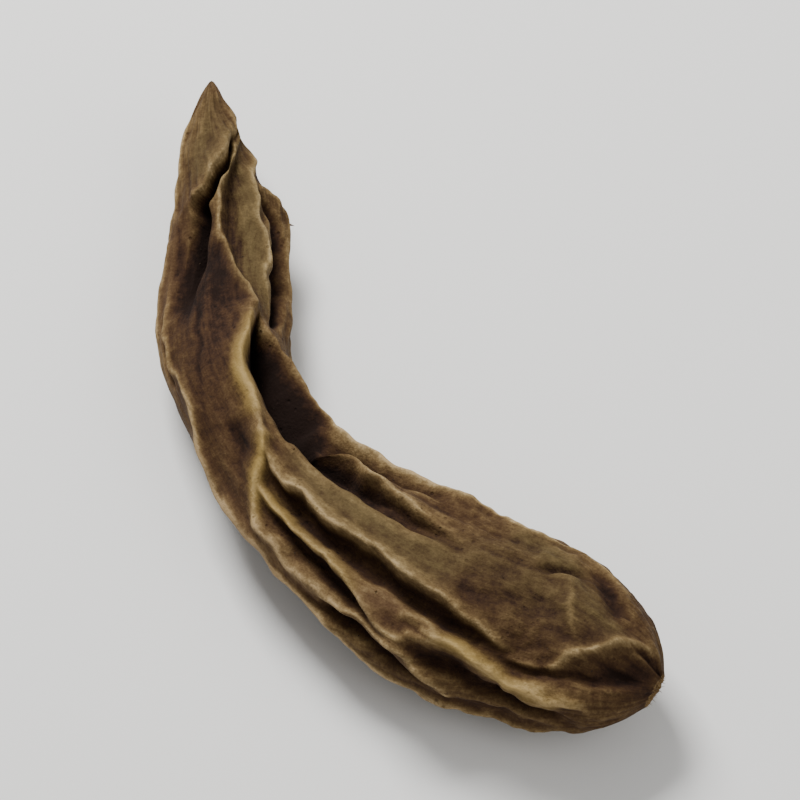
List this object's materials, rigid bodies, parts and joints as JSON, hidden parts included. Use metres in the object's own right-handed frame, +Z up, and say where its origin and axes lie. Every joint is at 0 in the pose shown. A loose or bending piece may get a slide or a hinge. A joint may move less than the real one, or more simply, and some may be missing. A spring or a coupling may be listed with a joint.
{
  "type": "dried stemona root",
  "caption": "Curved, shrivelled and lengthwise folded dried tuberous root, thin at its tip and blunt at its broken end, lying on its side.",
  "frame": {"origin": "centre of the root's box in X and Y, at the height of the surface that it lies on", "axes": "+Z up from that surface; +Y runs from the broken end's side to the tip's side, the longest way; the bend is open towards +X, and the broken end points to +X and -Y"},
  "size_m": [0.0284, 0.042, 0.0084],
  "materials": {
    "dried_root_skin": "matt, wrinkled"
  },
  "bodies": {
    "root": {"stemona_root": "dried_root_skin"}
  },
  "joints": []
}
